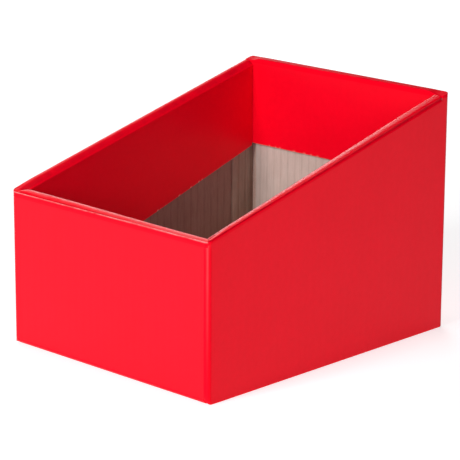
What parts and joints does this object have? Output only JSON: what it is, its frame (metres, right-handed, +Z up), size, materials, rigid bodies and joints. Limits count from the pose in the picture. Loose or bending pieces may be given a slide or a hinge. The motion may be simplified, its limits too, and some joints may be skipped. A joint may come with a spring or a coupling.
{
  "type": "book box",
  "caption": "Open-topped book box of glossy red laminated corrugated board with a low front, sloping sides, turned-in hems and a drop-down floor.",
  "frame": {"origin": "middle of the base, on the surface that the box stands on", "axes": "+X to the right along the low front, +Y from the front to the high back, +Z up"},
  "size_m": [0.21, 0.267, 0.19],
  "materials": {
    "red_facing": "gloss",
    "folded_board": "gloss",
    "kraft_flutes": "matte",
    "kraft_liner": "matte",
    "kraft_lap": "matte",
    "glue": "satin"
  },
  "bodies": {
    "sleeve": {"front_wall_facing": "red_facing", "front_wall_flutes": "kraft_flutes", "front_wall_liner": "kraft_liner", "left_wall_facing": "red_facing", "left_wall_flutes": "kraft_flutes", "left_wall_liner": "kraft_liner", "right_wall_facing": "red_facing", "right_wall_flutes": "kraft_flutes", "right_wall_liner": "kraft_liner", "back_wall_facing": "red_facing", "back_wall_flutes": "kraft_flutes", "back_wall_liner": "kraft_liner", "front_hem_facing": "red_facing", "front_hem_flutes": "kraft_flutes", "front_hem_liner": "kraft_liner", "left_hem_facing": "red_facing", "left_hem_flutes": "kraft_flutes", "left_hem_liner": "kraft_liner", "right_hem_facing": "red_facing", "right_hem_flutes": "kraft_flutes", "right_hem_liner": "kraft_liner", "back_hem_facing": "red_facing", "back_hem_flutes": "kraft_flutes", "back_hem_liner": "kraft_liner", "front_rim": "folded_board", "left_rim": "folded_board", "right_rim": "folded_board", "back_rim": "folded_board", "front_left_fold": "folded_board", "front_right_fold": "folded_board", "back_right_fold": "folded_board", "lap_fold": "folded_board", "floor_fold": "folded_board", "glue_lap": "kraft_lap", "lap_glue": "glue", "hem_glue": "glue"},
    "floor": {"floor_facing": "red_facing", "floor_flutes": "kraft_flutes", "floor_liner": "kraft_liner", "left_flange_fold": "folded_board", "right_flange_fold": "folded_board", "back_flange_fold": "folded_board"},
    "left_flange": {"left_flange_facing": "red_facing", "left_flange_flutes": "kraft_flutes", "left_flange_liner": "kraft_liner"},
    "right_flange": {"right_flange_facing": "red_facing", "right_flange_flutes": "kraft_flutes", "right_flange_liner": "kraft_liner"},
    "back_flange": {"back_flange_facing": "red_facing", "back_flange_flutes": "kraft_flutes", "back_flange_liner": "kraft_liner"}
  },
  "joints": [
    {"name": "floor_hinge", "type": "hinge", "parent": "sleeve", "child": "floor", "pos_m": [0, -0.1293, 0.0042], "axis": [-1, 0, 0], "range_deg": [0, 90], "deforming": ["floor_fold"]},
    {"name": "left_flange_crease", "type": "hinge", "parent": "floor", "child": "left_flange", "pos_m": [-0.0944, 0, 0.0042], "axis": [0, 1, 0], "range_deg": [0, 85], "deforming": ["left_flange_fold"]},
    {"name": "right_flange_crease", "type": "hinge", "parent": "floor", "child": "right_flange", "pos_m": [0.0944, 0, 0.0042], "axis": [0, -1, 0], "range_deg": [0, 85], "deforming": ["right_flange_fold"]},
    {"name": "back_flange_crease", "type": "hinge", "parent": "floor", "child": "back_flange", "pos_m": [0, 0.1223, 0.0042], "axis": [1, 0, 0], "range_deg": [0, 85], "deforming": ["back_flange_fold"]}
  ]
}
